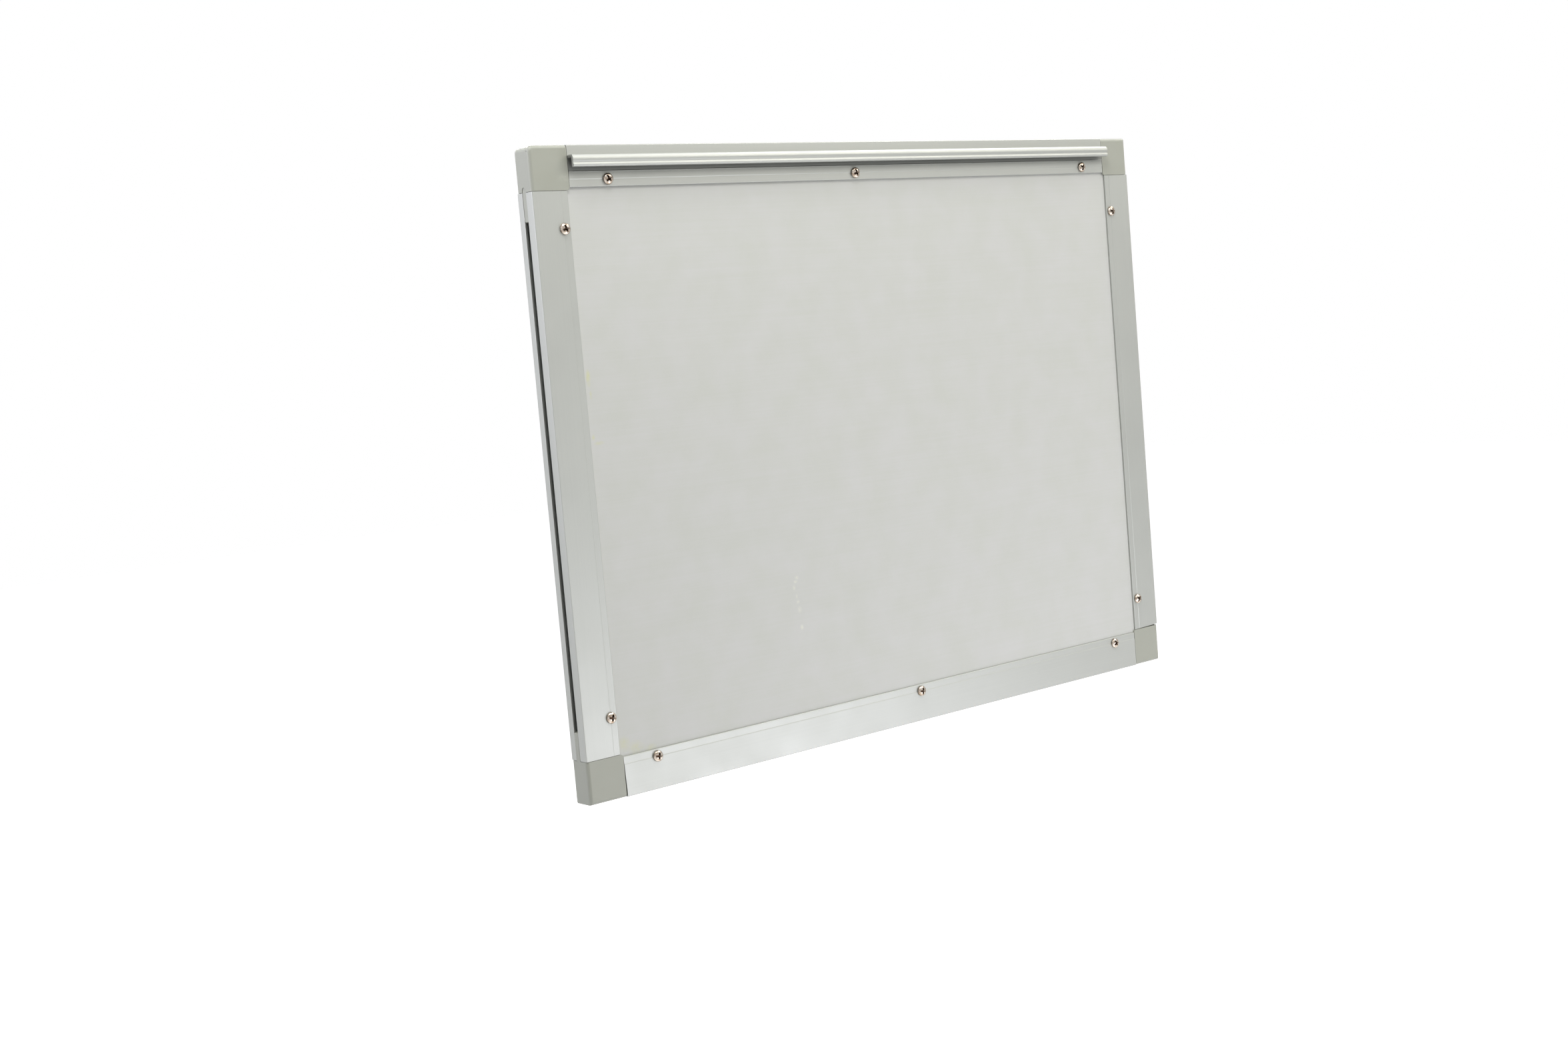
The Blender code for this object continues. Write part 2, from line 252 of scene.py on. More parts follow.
tube_corners = [
    (0, SLOT[1]),
    (WALL, SLOT[1]),
    (WALL, DEPTH - WALL),
    (BOX - WALL, DEPTH - WALL),
    (BOX - WALL, WALL),
    (WALL, WALL),
    (WALL, SLOT[0]),
    (0, SLOT[0]),
]
# How far each corner is rounded, in millimetres: the die's outer corners are the softest
crown_start = hook_corners[1]
ridge_corners = hook_corners[-4:]
step_corners = back_corners[:2]
roundings = {
    0.6: [(0, 0), (FLANGE, FLANGE_DROP)],
    0.35: [(0, DEPTH), crown_start, (LIP, DEPTH), (WALL, WALL), (BOX - WALL, WALL)],
    0.25: [(0, SLOT[0]), (0, SLOT[1]), (LIP, DEPTH - WALL)],
    0.2: [(BOX, WALL), (BOX, DEPTH - WALL), (SEAT, LIP_FACE), (SEAT, 0), (HOOK, 0)],
    0.12: [*ridge_corners, *step_corners],
    0.08: [(FLANGE, WALL)],
}
print("section corners:", len(hook_corners + back_corners + front_corners + tube_corners) + 1)

# %% Rounding the section's corners
def round_corners(piece):
    make_active(piece)
    bpy.ops.object.mode_set(mode="EDIT")
    for radius, corners in roundings.items():
        pick("VERT", lambda co: any(near(co.z, u * MM) and near(co.y, -v * MM) for u, v in corners))
        bpy.ops.mesh.bevel(offset=radius * MM, segments=4, affect="VERTICES")


def pull_out(length):
    """Pulls the flat section out along X and points its faces outwards."""
    bpy.ops.mesh.select_all(action="SELECT")
    bpy.ops.mesh.extrude_region_move(TRANSFORM_OT_translate={"value": (length * MM, 0, 0)})
    bpy.ops.mesh.select_all(action="SELECT")
    bpy.ops.mesh.normals_make_consistent(inside=False)
    bpy.ops.object.mode_set(mode="OBJECT")


# %% [markdown]
# Each rail is drawn lying along X, pulled out to its length and drilled for its screws. One end of the
# bottom rail and of the left rail was sawn a little out of square: that end face is turned about its
# inner edge, which opens the wedge of shadow seen beside the corner cap. Only then is the rail turned
# to its side of the board. The four sides are the bottom one turned in steps of a right angle.

# %% The four sides
# Where the frame's back and top edge lie, seen from the origin in the hook's seat
REAR = -2.35
TOP = SEAT
CAP = 30.4
SEAM = 0.3
WIDTH, HEIGHT = 600, 450
sides = {
    "bottom": (0, (-WIDTH / 2, REAR, TOP - HEIGHT), WIDTH),
    "right": (-90, (WIDTH / 2, REAR, TOP - HEIGHT), HEIGHT),
    "top": (180, (WIDTH / 2, REAR, TOP), WIDTH),
    "left": (90, (-WIDTH / 2, REAR, TOP), HEIGHT),
}
# How far each screw is from the end where its side starts
screw_places = {
    "bottom": (56.6, 284.4, 540.5),
    "right": (57.5, 393.7),
    "top": (62.3, 289.8, 543.3),
    "left": (60.8, 393.1),
}
print("screws on each side:", {side: len(places) for side, places in screw_places.items()})


def side_matrix(side):
    degrees, place, _ = sides[side]
    return Matrix.Translation(Vector(place) * MM) @ Matrix.Rotation(math.radians(degrees), 4, "Y")


def turn_to_side(piece, side):
    """Places the finished piece, and leaves its object at the origin with the place in its mesh."""
    make_active(piece)
    piece.matrix_world = side_matrix(side)
    bpy.ops.object.transform_apply(location=True, rotation=True, scale=True)


# %% Drills and saw cuts
HOLE_RADIUS = 2.05


def drill(piece, side):
    """Cuts the screw holes through a piece that still lies along X."""
    for distance in screw_places[side]:
        clear_selection()
        place = Vector((distance, 0, SCREW_LINE)) * MM
        turn = (math.radians(90), 0, 0)
        bpy.ops.mesh.primitive_cylinder_add(
            vertices=32, radius=HOLE_RADIUS * MM, depth=6 * MM, location=place, rotation=turn
        )
        join_or_cut(piece, "DIFFERENCE", name_piece("drill"))


def saw_out_of_square(piece, length, slip):
    """Turns the far end face about the flange's edge, so that its outer side falls short by slip.

    With no window open, the rotate operator turns the other way, hence the minus sign.
    """
    make_active(piece)
    bpy.ops.object.mode_set(mode="EDIT")
    pick("VERT", lambda co: co.x > (length - 1) * MM)
    pivot = Vector((length, 0, FLANGE)) * MM
    turn = -math.atan(slip / FLANGE)
    bpy.ops.transform.rotate(value=turn, orient_axis="Y", center_override=pivot)
    bpy.ops.object.mode_set(mode="OBJECT")


# %% Making the rails
def make_rail(side, slip=0):
    hook = hook_corners if side == "top" else []
    corners = [(0, 0), *hook, *back_corners, *front_corners, *tube_corners]
    rail = draw_wire(f"{side}_rail_extrusion", corners)
    close_wire()
    round_corners(rail)
    length = sides[side][2] - 2 * (CAP + SEAM)
    pull_out(length)
    if slip:
        saw_out_of_square(rail, length, slip)
    rail.data.transform(Matrix.Translation(((CAP + SEAM) * MM, 0, 0)))
    drill(rail, side)
    finish_shading(rail)
    turn_to_side(rail, side)
    size = [round(v / MM, 1) for v in rail.dimensions]
    print(rail.name, size, "mm,", len(rail.data.polygons), "faces")
    return rail


rails = {
    "top": make_rail("top"),
    "right": make_rail("right"),
    "bottom": make_rail("bottom", slip=0.8),
    "left": make_rail("left", slip=0.9),
}

# %% [markdown]
# ## The corner caps
#
# Each corner is one injection-moulded piece of grey ABS: a block that is rounded on its outer edges,
# with a pocket that takes the panel's corner and two hollow legs that push into the rails. A rib on
# each leg fills the end of the rail's slot. On one leg it is flush with the block; on the other it lies
# a little deeper, and a round-ended notch in the block meets it. The mould's gate left a small
# dimple in the side. Blocks that are joined and cut with booleans keep each wall at its measured size.
# The photograph shows three crisp outer corners and a softer one at the top right, so two caps are
# built and copied to the four corners.

# %% The block and its pocket
INNER_CORNER, SOFT_CORNER, CRISP_CORNER = 2.0, 4.0, 0.8
BACK_EDGE, FRONT_EDGE = 2.5, 2.0


def swapped(corner, across):
    """The cap is the same on both sides of its corner: the second leg swaps X and Z."""
    x, y, z = corner
    return (z, y, x) if across else corner


def cap_block(soft):
    """A soft corner is rounded before the edges that run into it, and a crisp one after them."""
    cap = block("corner_cap_moulding", (0, -DEPTH, 0), (CAP, 0, CAP))
    round_edges(cap, lambda m: near(m.x, CAP * MM) and near(m.z, CAP * MM), INNER_CORNER, 8)
    if soft:
        round_edges(cap, lambda m: near(m.x, 0) and near(m.z, 0), SOFT_CORNER, 8)
    reach = ((SOFT_CORNER if soft else 0) + 0.1) * MM
    outer = lambda m: min(m.x, m.z) < reach and max(m.x, m.z) < (CAP - 1) * MM
    round_edges(cap, lambda m: near(m.y, 0) and outer(m), BACK_EDGE, 8)
    round_edges(cap, lambda m: near(m.y, -DEPTH * MM) and outer(m), FRONT_EDGE, 8)
    if not soft:
        mitred = lambda m: near(m.x, m.z) and m.x < (BACK_EDGE + 0.1) * MM
        round_edges(cap, mitred, CRISP_CORNER, 4)
    pocket = block("pocket", (BOX, WALL - DEPTH, BOX), (CAP + 2, -WALL, CAP + 2))
    join_or_cut(cap, "DIFFERENCE", pocket)
    return cap


# %% The legs, their ribs and notches
LEG_ROOT, LEG_TIP = 28.5, 50.4
LEG_SIDES = (1.8, 16.2)
HOLLOW_SIDES = (3.5, 14.5)
RIB_MIDDLE, RIB_HALF = -sum(SLOT) / 2, 2.15
RIB_ROOT, RIB_DROP = 2.65, 0.4
TIP_EDGE = 0.6
NOTCH_LENGTH, NOTCH_HALF = 3.3, 2.25


def add_leg(cap, across):
    near_side, far_side = LEG_SIDES
    leg_low, leg_high = (LEG_ROOT, -far_side, near_side), (LEG_TIP, -near_side, far_side)
    leg = block("leg", swapped(leg_low, across), swapped(leg_high, across))
    rib_low = (LEG_ROOT, RIB_MIDDLE - RIB_HALF, RIB_DROP if across else 0)
    rib_high = (LEG_TIP, RIB_MIDDLE + RIB_HALF, RIB_ROOT)
    rib = block("rib", swapped(rib_low, across), swapped(rib_high, across))
    for part in (leg, rib):
        round_edges(part, lambda m: near(max(m.x, m.z), LEG_TIP * MM), TIP_EDGE, 4)
    join_or_cut(cap, "UNION", leg, rib)


def cut_leg(cap, across):
    near_side, far_side = HOLLOW_SIDES
    low, high = (CAP, -far_side, near_side), (LEG_TIP + 2, -near_side, far_side)
    hollow = block("hollow", swapped(low, across), swapped(high, across))
    join_or_cut(cap, "DIFFERENCE", hollow)


def cut_notch(cap):
    """The end is rounded by just under half its width, so that its end face doesn't shrink to a line."""
    low = (CAP - NOTCH_LENGTH, RIB_MIDDLE - NOTCH_HALF, -2)
    high = (CAP + 2, RIB_MIDDLE + NOTCH_HALF, RIB_DROP)
    notch = block("notch", swapped(low, True), swapped(high, True))
    rounded = lambda m: near(m.z, (CAP - NOTCH_LENGTH) * MM) and not near(m.y, RIB_MIDDLE * MM)
    round_edges(notch, rounded, NOTCH_HALF - 0.01, 8)
    join_or_cut(cap, "DIFFERENCE", notch)


# %% Making and placing the caps
GATE, GATE_RADIUS = (-0.15, -2.4, 4.0), 0.6


def make_cap(soft):
    cap = cap_block(soft)
    for across in (False, True):
        add_leg(cap, across)
    for across in (False, True):
        cut_leg(cap, across)
    cut_notch(cap)
    clear_selection()
    bpy.ops.mesh.primitive_uv_sphere_add(radius=GATE_RADIUS * MM, location=Vector(GATE) * MM)
    join_or_cut(cap, "DIFFERENCE", name_piece("gate"))
    finish_shading(cap, 40)
    return cap


def copy_piece(piece, name):
    """A copy with a mesh of its own."""
    copy = piece.copy()
    copy.data = piece.data.copy()
    copy.name = copy.data.name = name
    bpy.context.scene.collection.objects.link(copy)
    return copy


crisp_cap, soft_cap = make_cap(False), make_cap(True)
cap_sides = {"bottom_left": "bottom", "bottom_right": "right", "top_right": "top", "top_left": "left"}
caps = {}
for corner, side in cap_sides.items():
    cap = soft_cap if corner == "top_right" else crisp_cap
    caps[corner] = copy_piece(cap, f"{corner}_cap_moulding")
    turn_to_side(caps[corner], side)
for cap in (crisp_cap, soft_cap):
    bpy.data.objects.remove(cap, do_unlink=True)
print("caps:", [(name, len(piece.data.polygons)) for name, piece in caps.items()])

# %% [markdown]
# ## The screws
#
# Ten nickel-plated self-tapping screws with pan heads hold the rails to the panel. A head is a body of
# revolution, so half of its outline is drawn and spun round the axis. Its cross recess is cut by two
# tapered blades and a small cone. Screws driven by hand stop at any turn and lean by a degree or so,
# so each copy gets a turn and a lean of its own.

# %% One screw
HEAD, RIM, CROWN_RISE = 4.0, 0.7, 1.9
SHANK, SHANK_END, POINT = 1.9, -8.86, -11.86
GAP = 0.02


def screw_outline():
    """From the top of the head to the point, as (distance from the axis, height)."""
    turns = [math.radians(6 * i) for i in range(16)]
    crown = [(HEAD * math.sin(a), RIM + CROWN_RISE * math.cos(a)) for a in turns]
    under = [(HEAD, 0.25), (HEAD - 0.2, GAP), (SHANK + 0.2, GAP), (SHANK, -0.2)]
    return [*crown, *under, (SHANK, SHANK_END), (0, POINT)]


def spin_screw():
    screw = draw_wire("screw", [(radius, -height) for radius, height in screw_outline()])
    bpy.ops.mesh.select_all(action="SELECT")
    bpy.ops.mesh.spin(steps=48, angle=math.tau, center=(0, 0, 0), axis=(0, 1, 0))
    bpy.ops.mesh.select_all(action="SELECT")
    bpy.ops.mesh.remove_doubles(threshold=0.001 * MM)
    bpy.ops.mesh.normals_make_consistent(inside=False)
    bpy.ops.object.mode_set(mode="OBJECT")
    return screw


RECESS_FLOOR = 0.6
RECESS_TOP = 2.7
RECESS_REACH = 3.5
RECESS_ARM = 0.82
RECESS_TAPER = (0.35, 0.6)
# How deep below the crown and how far from the axis the painted shade in the cross recess reaches
RECESS_SHADE_DEPTH, RECESS_SHADE_REACH = 0.35, 3.3
WORN_EDGE = 0.06


def cut_recess(screw):
    """Two crossed blades that narrow towards the floor, and a cone where they meet."""
    along, across = RECESS_TAPER
    for x, z in ((RECESS_REACH, RECESS_ARM), (RECESS_ARM, RECESS_REACH)):
        blade = block("blade", (-x, RECESS_FLOOR, -z), (x, RECESS_TOP, z))
        bpy.ops.object.mode_set(mode="EDIT")
        pick("FACE", lambda m: near(m.y, RECESS_FLOOR * MM))
        narrow = (along, 1, across) if x > z else (across, 1, along)
        bpy.ops.transform.resize(value=narrow, center_override=(0, RECESS_FLOOR * MM, 0))
        join_or_cut(screw, "DIFFERENCE", blade)
    clear_selection()
    turn = (math.radians(-90), 0, 0)
    bpy.ops.mesh.primitive_cone_add(
        vertices=24, radius1=0.45 * MM, radius2=1.6 * MM, depth=2.4 * MM,
        location=Vector((0, 1.7, 0)) * MM, rotation=turn,
    )
    join_or_cut(screw, "DIFFERENCE", name_piece("cone"))


def mark_recess_shade(screw):
    """Painted shade from how far each point lies below the crown: 0 on it, 1 from RECESS_SHADE_DEPTH
    down.
    """
    painted_recess_shade = screw.data.attributes.new("painted_recess_shade", "FLOAT", "POINT")
    for vert, value in zip(screw.data.vertices, painted_recess_shade.data):
        x, y, z = vert.co / MM
        from_axis = math.hypot(x, z)
        away = min(from_axis / HEAD, 1)
        crown = RIM + CROWN_RISE * math.sqrt(1 - away * away)
        inside = y > 0.5 and from_axis < RECESS_SHADE_REACH
        value.value = min(max((crown - y) / RECESS_SHADE_DEPTH, 0), 1) if inside else 0


screw = spin_screw()
cut_recess(screw)
worn = {"width": WORN_EDGE * MM, "segments": 2, "limit_method": "ANGLE", "angle_limit": math.radians(50)}
apply_modifier(screw, "BEVEL", **worn)
mark_recess_shade(screw)
finish_shading(screw, 40)
print("screw:", len(screw.data.polygons), "faces")

# %% Placing the screws
# The turn and the lean of each screw, in degrees
turns = {"bottom": (25, -6, -9), "right": (-13, 20), "top": (34, 22, 70), "left": (0, 55)}
leans = {"bottom": (1.0, -0.8, 0.5), "right": (0.7, -1.0), "top": (-0.6, 0.9, 0.4), "left": (0.8, -0.5)}
screws = {}
for side, distances in screw_places.items():
    for number, distance in enumerate(distances, 1):
        piece = copy_piece(screw, f"{side}_pan_head_screw_{number}")
        turn = Euler((math.radians(leans[side][number - 1]), math.radians(turns[side][number - 1]), 0))
        place = Matrix.Translation(Vector((distance, 0, SCREW_LINE)) * MM)
        piece.data.transform(place @ turn.to_matrix().to_4x4())
        turn_to_side(piece, side)
        screws[f"screw_{side}_{number}"] = piece
bpy.data.objects.remove(screw, do_unlink=True)
print("screws:", len(screws))

# %% [markdown]
# ## The panel
#
# The panel is a sandwich: a lacquered steel sheet to write on, a fibreboard core, and a thin backing
# sheet. The core is hidden inside, so its CAD node stays. Thin sheets are never quite flat: each is a
# fine grid, swelled by a tenth of a millimetre with soft clouds, and then given its thickness.

# %% Sheets
INSET = 18.3


def make_sheet(name, depth, thickness, swell, cloud_size):
    """A sheet whose middle lies this far inside the frame's back, in millimetres."""
    clear_selection()
    width, height = WIDTH - 2 * INSET, HEIGHT - 2 * INSET
    centre = Vector((0, REAR - depth, TOP - HEIGHT / 2)) * MM
    upright = (math.radians(90), 0, 0)
    bpy.ops.mesh.primitive_grid_add(
        x_subdivisions=72, y_subdivisions=54, size=1, location=centre, rotation=upright
    )
    sheet = name_piece(name)
    sheet.scale = (width * MM, height * MM, 1)
    bpy.ops.object.transform_apply(location=True, rotation=True, scale=True)
    clouds = bpy.data.textures.new(f"{name}_clouds", "CLOUDS")
    clouds.noise_scale = cloud_size
    push = {"strength": swell * MM, "texture_coords": "LOCAL", "direction": "Y"}
    apply_modifier(sheet, "DISPLACE", texture=clouds, **push)
    apply_modifier(sheet, "SOLIDIFY", thickness=thickness * MM, offset=0)
    make_active(sheet)
    bpy.ops.object.mode_set(mode="EDIT")
    bpy.ops.mesh.select_all(action="SELECT")
    bpy.ops.mesh.normals_make_consistent(inside=False)
    bpy.ops.object.mode_set(mode="OBJECT")
    return sheet


def drill_sheet(sheet):
    for side, distances in screw_places.items():
        for distance in distances:
            clear_selection()
            bpy.ops.mesh.primitive_cylinder_add(vertices=32, radius=HOLE_RADIUS * MM, depth=8 * MM)
            cutter = name_piece("drill")
            place = Matrix.Translation(Vector((distance, 0, SCREW_LINE)) * MM)
            upright = Matrix.Rotation(math.radians(90), 4, "X")
            cutter.data.transform(side_matrix(side) @ place @ upright)
            join_or_cut(sheet, "DIFFERENCE", cutter)


backing = make_sheet("backing_sheet", depth=1.92, thickness=0.6, swell=0.1, cloud_size=0.09)
drill_sheet(backing)
writing = make_sheet("writing_panel_sheet", depth=16.15, thickness=0.5, swell=0.05, cloud_size=0.16)
for sheet in (backing, writing):
    finish_shading(sheet)
    print(sheet.name, [round(v / MM, 2) for v in sheet.dimensions], len(sheet.data.polygons), "faces")

# %% [markdown]
# ## Finishes
#
# Each finish starts from what the real surface is and how it was made. Colours are typed as sRGB hex
# values, as they are read off a picture, and one function turns them into the linear values that a
# shader works with. One small function adds a node, sets it and links it.

# %% Colour and node tools
def colour(code):
    """An sRGB hex value as a linear colour."""
    parts = [int(code[i : i + 2], 16) / 255 for i in (1, 3, 5)]
    return (*[p / 12.92 if p <= 0.04045 else ((p + 0.055) / 1.055) ** 2.4 for p in parts], 1)


def add_node(tree, kind, inputs, **settings):
    """Adds a node with its settings. Each input gets a value, or a link from a node or a socket."""
    node = tree.nodes.new(kind)
    for name, value in settings.items():
        setattr(node, name, value)
    for socket, value in inputs.items():
        if isinstance(value, bpy.types.Node):
            value = value.outputs[0]
        if isinstance(value, bpy.types.NodeSocket):
            tree.links.new(value, node.inputs[socket])
        else:
            node.inputs[socket].default_value = value
    return node


def start_material(name, **values):
    """A new material, its node tree, its Principled shader and the Object coordinates."""
    material = bpy.data.materials.new(name)
    material.use_nodes = True
    tree = material.node_tree
    shader = tree.nodes["Principled BSDF"]
    for socket, value in values.items():
        shader.inputs[socket.replace("_", " ")].default_value = value
    place = add_node(tree, "ShaderNodeTexCoord", {}).outputs["Object"]
    return material, tree, shader, place


def every(millimetres):
    """A texture scale that repeats a pattern about every so many millimetres."""
    return 1 / (millimetres * MM)


# %% [markdown]
# Wear and marks sit at known places, so each is an oval patch round a point, worked out from how far a
# surface point lies from it. The patches of one kind are added up and broken up by a fine noise.

# %% Marks at known places
def oval_marks(tree, place, marks, grain):
    """How strongly the marks show, 0 to 1.

    A mark is (X, Z, reach in X, reach in Z, strength), the first four in millimetres.
    """
    total = 0
    for x, z, reach_x, reach_z, strength in marks:
        middle = (-x * MM, 0, -z * MM)
        from_middle = add_node(tree, "ShaderNodeVectorMath", {0: place, 1: middle}, operation="ADD")
        ovals = {0: from_middle, 1: (every(reach_x), 0, every(reach_z))}
        scaled = add_node(tree, "ShaderNodeVectorMath", ovals, operation="MULTIPLY")
        far = add_node(tree, "ShaderNodeVectorMath", {0: scaled}, operation="LENGTH").outputs["Value"]
        patch = add_node(tree, "ShaderNodeMapRange", {0: far, 1: 1.3, 2: 0.2, 3: 0, 4: strength})
        total = add_node(tree, "ShaderNodeMath", {0: total, 1: patch}, operation="ADD")
    noise = add_node(tree, "ShaderNodeTexNoise", {"Vector": place, "Scale": every(grain), "Detail": 4})
    broken = add_node(tree, "ShaderNodeMapRange", {0: noise, 1: 0.35, 2: 0.6, 3: 0.3, 4: 1})
    return add_node(tree, "ShaderNodeMath", {0: total, 1: broken}, operation="MULTIPLY", use_clamp=True)


# %% [markdown]
# ### Natural anodised aluminium
#
# The rails are extruded 6063 aluminium, etched to a satin matte and anodised clear. The etch gives a
# soft, wide highlight. The die leaves faint lines along the rail, in life a few hundredths of a
# millimetre apart; they are drawn half a millimetre apart so that they can be seen. Handling leaves
# slightly duller patches a few centimetres wide. The pattern's X axis is turned to run along the rail.
# The oxide layer scatters much of the light, so the finish is only about half metallic. The hook's
# channel is painted dark grey as shade, and the painted shade thins out over a few millimetres below it.

# %% Painted shade in the hook's channel
# Heights and depths in metres between which the painted shade fades, and how strong it is at its darkest
SHADE_FOOT, SHADE_HEAD = (-13.5 * MM, -8 * MM), (0.2 * MM, 1.5 * MM)
SHADE_DEPTH = (2.45 * MM, 2.75 * MM)
SHADE_STRENGTH = 0.75


def painted_channel_shade(tree, place):
    """How much painted shade darkens the metal, from 0 below the hook to SHADE_STRENGTH inside its
    channel.
    """
    split = add_node(tree, "ShaderNodeSeparateXYZ", {0: place})
    height, depth = split.outputs["Z"], split.outputs["Y"]
    foot = {0: height, 1: SHADE_FOOT[0], 2: SHADE_FOOT[1], 3: 0, 4: SHADE_STRENGTH}
    rising = add_node(tree, "ShaderNodeMapRange", foot)
    head = {0: height, 1: SHADE_HEAD[0], 2: SHADE_HEAD[1], 3: 1, 4: 0}
    under_web = add_node(tree, "ShaderNodeMapRange", head)
    away = add_node(tree, "ShaderNodeMath", {0: depth}, operation="ABSOLUTE")
    walls = {0: away, 1: SHADE_DEPTH[0], 2: SHADE_DEPTH[1], 3: 1, 4: 0}
    inside = add_node(tree, "ShaderNodeMapRange", walls)
    shade_amount = add_node(tree, "ShaderNodeMath", {0: rising, 1: under_web}, operation="MULTIPLY")
    return add_node(tree, "ShaderNodeMath", {0: shade_amount, 1: inside}, operation="MULTIPLY")


# %% Anodised aluminium
def anodised_aluminium(name, turn):
    material, tree, shader, place = start_material(name, Metallic=0.55, Roughness=0.44)
    along = add_node(tree, "ShaderNodeMapping", {"Vector": place, "Rotation": turn})
    stretch = (every(160), every(0.5), every(0.5))
    drawn = add_node(tree, "ShaderNodeMapping", {"Vector": along, "Scale": stretch})
    lines = add_node(tree, "ShaderNodeTexNoise", {"Vector": drawn, "Scale": 1, "Detail": 3})
    etch = add_node(tree, "ShaderNodeTexNoise", {"Vector": place, "Scale": every(0.35), "Detail": 2})
    hands = add_node(tree, "ShaderNodeTexNoise", {"Vector": place, "Scale": every(38), "Detail": 4})
    tone = add_node(tree, "ShaderNodeMapRange", {0: lines, 1: 0.3, 2: 0.7, 3: 0, 4: 1})
    tint = add_node(
        tree, "ShaderNodeMix", {0: tone, 6: colour("#A6A8A3"), 7: colour("#A8AAA5")}, data_type="RGBA"
    )
    # Painted shade: the hook's channel and the flange below it are mixed towards dark grey
    tint = add_node(
        tree,
        "ShaderNodeMix",
        {0: painted_channel_shade(tree, place), 6: tint.outputs[2], 7: colour("#666863")},
        data_type="RGBA",
    )
    tree.links.new(tint.outputs[2], shader.inputs["Base Color"])
    dull = add_node(tree, "ShaderNodeMapRange", {0: hands, 1: 0.35, 2: 0.7, 3: 0.41, 4: 0.48})
    tree.links.new(dull.outputs[0], shader.inputs["Roughness"])
    height = add_node(tree, "ShaderNodeMath", {0: lines, 1: 0.6}, operation="MULTIPLY")
    height = add_node(tree, "ShaderNodeMath", {0: etch, 1: 0.4, 2: height}, operation="MULTIPLY_ADD")
    bump = add_node(tree, "ShaderNodeBump", {"Height": height, "Distance": 0.0015 * MM, "Strength": 1})
    tree.links.new(bump.outputs[0], shader.inputs["Normal"])
    return material


level_aluminium = anodised_aluminium("anodised_aluminium_level", (0, 0, 0))
upright_aluminium = anodised_aluminium("anodised_aluminium_upright", (0, math.radians(90), 0))
for metal in (level_aluminium, upright_aluminium):
    print(metal.name, "has", len(metal.node_tree.nodes), "nodes")

# %% [markdown]
# ### Moulded ABS
#
# The corner caps are grey ABS out of a steel mould whose walls were spark-eroded, which gives the
# plastic a fine even grain. Real grains are about a tenth of a millimetre wide; they are drawn at a
# quarter of a millimetre. Flow in the mould leaves a cloudy change of tone of one or two per cent, and
# one cap has a paler patch where the screwdriver's hand rubbed it.

# %% Moulded ABS
rubbed_patch = [(272.5, -13.2, 5.5, 2.5, 0.7)]


def moulded_abs():
    material, tree, shader, place = start_material("moulded_grey_abs", Roughness=0.5, IOR=1.53)
    grain = add_node(tree, "ShaderNodeTexNoise", {"Vector": place, "Scale": every(0.25), "Detail": 2})
    flow = add_node(tree, "ShaderNodeTexNoise", {"Vector": place, "Scale": every(14), "Detail": 3})
    tint = add_node(
        tree, "ShaderNodeMix", {0: flow, 6: colour("#9A9C90"), 7: colour("#9EA096")}, data_type="RGBA"
    ).outputs[2]
    rubbed = oval_marks(tree, place, rubbed_patch, 2)
    tint = add_node(
        tree, "ShaderNodeMix", {0: rubbed, 6: tint, 7: colour("#AAACA2")}, data_type="RGBA"
    ).outputs[2]
    tree.links.new(tint, shader.inputs["Base Color"])
    gloss = add_node(tree, "ShaderNodeMapRange", {0: flow, 1: 0.3, 2: 0.7, 3: 0.44, 4: 0.56})
    tree.links.new(gloss.outputs[0], shader.inputs["Roughness"])
    bump = add_node(tree, "ShaderNodeBump", {"Height": grain, "Distance": 0.03 * MM, "Strength": 1})
    tree.links.new(bump.outputs[0], shader.inputs["Normal"])
    return material


grey_abs = moulded_abs()
print(grey_abs.name, "has", len(grey_abs.node_tree.nodes), "nodes")

# %% [markdown]
# ### The backing sheet
#
# The back of the panel is thin galvanised sheet under one dull grey-white coat of paint, rolled on in
# a coil line. Rolling leaves faint lines across the board, and the zinc under the paint a soft mottle.
# When the frame was put on, some yellow assembly glue was wiped along its edge, and a chalky rag left
# a broken row of pale dots.

# %% Painted backing
glue_smears = [
    (268.0, -149.0, 1.7, 5.5, 0.8),
    (267.2, -160.5, 0.9, 3.0, 0.4),
    (268.3, -190.0, 1.3, 2.2, 0.5),
    (264.0, -194.0, 4.5, 1.3, 0.4),
    (267.0, -404.0, 4.5, 5.0, 0.4),
    (257.0, -408.5, 6.0, 4.5, 0.35),
    (244.6, -411.0, 4.5, 2.5, 0.4),
]
chalk_dots = [
    (99.2, -311.5, 1.8, 1.3, 0.7),
    (100.8, -314.3, 1.8, 1.1, 0.8),
    (102.6, -318.6, 1.2, 2.0, 0.6),
    (100.7, -325.4, 0.9, 1.8, 0.5),
    (99.9, -329.5, 1.4, 1.4, 0.6),
    (99.0, -335.5, 2.0, 2.4, 0.5),
    (98.1, -348.9, 1.4, 1.8, 1.0),
]


